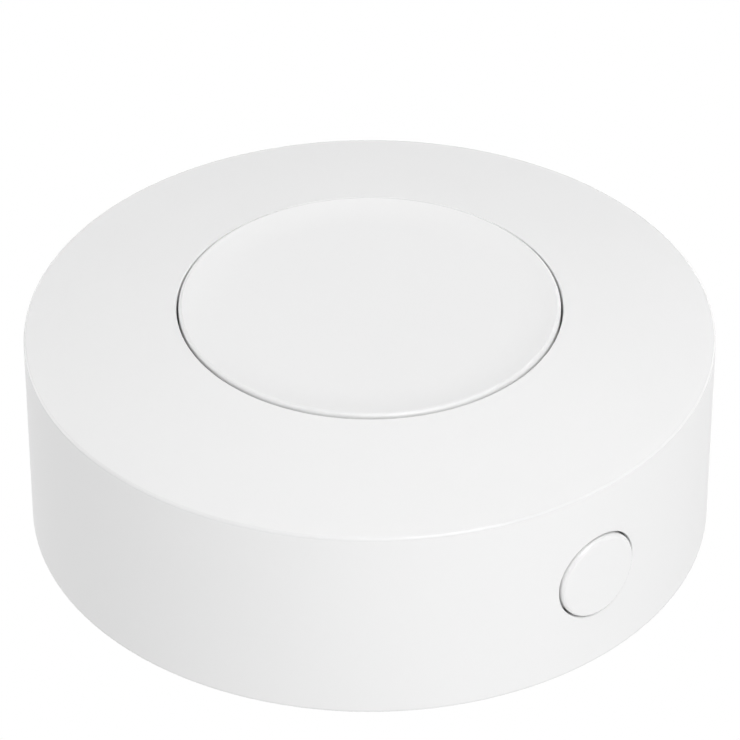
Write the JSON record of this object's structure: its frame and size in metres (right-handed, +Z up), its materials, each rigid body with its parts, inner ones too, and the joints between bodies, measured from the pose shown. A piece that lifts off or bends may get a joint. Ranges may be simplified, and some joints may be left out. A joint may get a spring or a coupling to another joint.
{
  "type": "smart button",
  "caption": "Round wireless push button with a dished cap in its domed top, a small button in its side wall and a twist-off battery cover.",
  "frame": {"origin": "middle of the face it stands on, the underside of the foot pad", "axes": "+Z up along the main button's axis, the side button faces -Y, +X to the right seen from the side button"},
  "size_m": [0.039, 0.0392, 0.0138],
  "materials": {
    "shell_plastic": "matte",
    "button_plastic": "matte",
    "pad_rubber": "matte",
    "tray_plastic": "matte",
    "screw_steel": "satin",
    "board_laminate": "satin",
    "switch_plastic": "matte",
    "plunger_plastic": "satin",
    "sheet_steel": "satin",
    "terminal_metal": "satin",
    "cell_steel": "satin",
    "gasket_plastic": "satin",
    "cell_mix": "matte",
    "chip_plastic": "matte",
    "capacitor_ceramic": "satin"
  },
  "bodies": {
    "case": {"housing": "shell_plastic", "battery_tray": "tray_plastic", "tray_screws": "screw_steel", "circuit_board": "board_laminate", "main_switch_case": "switch_plastic", "main_switch_cover": "sheet_steel", "main_switch_dome": "sheet_steel", "main_switch_terminals": "terminal_metal", "side_switch_case": "switch_plastic", "side_switch_bracket": "sheet_steel", "side_switch_dome": "sheet_steel", "side_switch_terminals": "terminal_metal", "cell_can": "cell_steel", "cell_gasket": "gasket_plastic", "cell_cap": "cell_steel", "cell_filling": "cell_mix", "positive_contact": "sheet_steel", "negative_contact": "sheet_steel", "radio_chip": "chip_plastic", "crystal": "sheet_steel", "antenna": "terminal_metal", "board_capacitors": "capacitor_ceramic", "board_resistors": "chip_plastic"},
    "main_cap": {"main_button": "button_plastic"},
    "main_plunger": {"main_switch_plunger": "plunger_plastic"},
    "side_cap": {"side_button": "button_plastic"},
    "side_plunger": {"side_switch_plunger": "plunger_plastic"},
    "cover": {"base_cover": "shell_plastic", "foot_pad": "pad_rubber"}
  },
  "joints": [
    {"name": "main_button_press", "type": "slide", "parent": "case", "child": "main_cap", "axis": [0, 0, -1], "range_m": [0, 0.00035], "stiffness_N_per_m": 5000},
    {"name": "main_plunger_travel", "type": "slide", "parent": "case", "child": "main_plunger", "axis": [0, 0, -1], "range_m": [0, 0.00025], "deforming": ["main_switch_dome"]},
    {"name": "side_button_press", "type": "slide", "parent": "case", "child": "side_cap", "axis": [0, 1, 0], "range_m": [0, 0.00035], "stiffness_N_per_m": 5000},
    {"name": "side_plunger_travel", "type": "slide", "parent": "case", "child": "side_plunger", "axis": [0, 1, 0], "range_m": [0, 0.00025], "deforming": ["side_switch_dome"]},
    {"name": "cover_twist", "type": "hinge", "parent": "case", "child": "cover", "pos_m": [0, 0, 0], "axis": [0, 0, -1], "range_deg": [0, 30]}
  ],
  "couplings": [
    {"joint": "main_plunger_travel", "follows": "main_button_press", "ratio": 0.71428},
    {"joint": "side_plunger_travel", "follows": "side_button_press", "ratio": 0.71428}
  ]
}
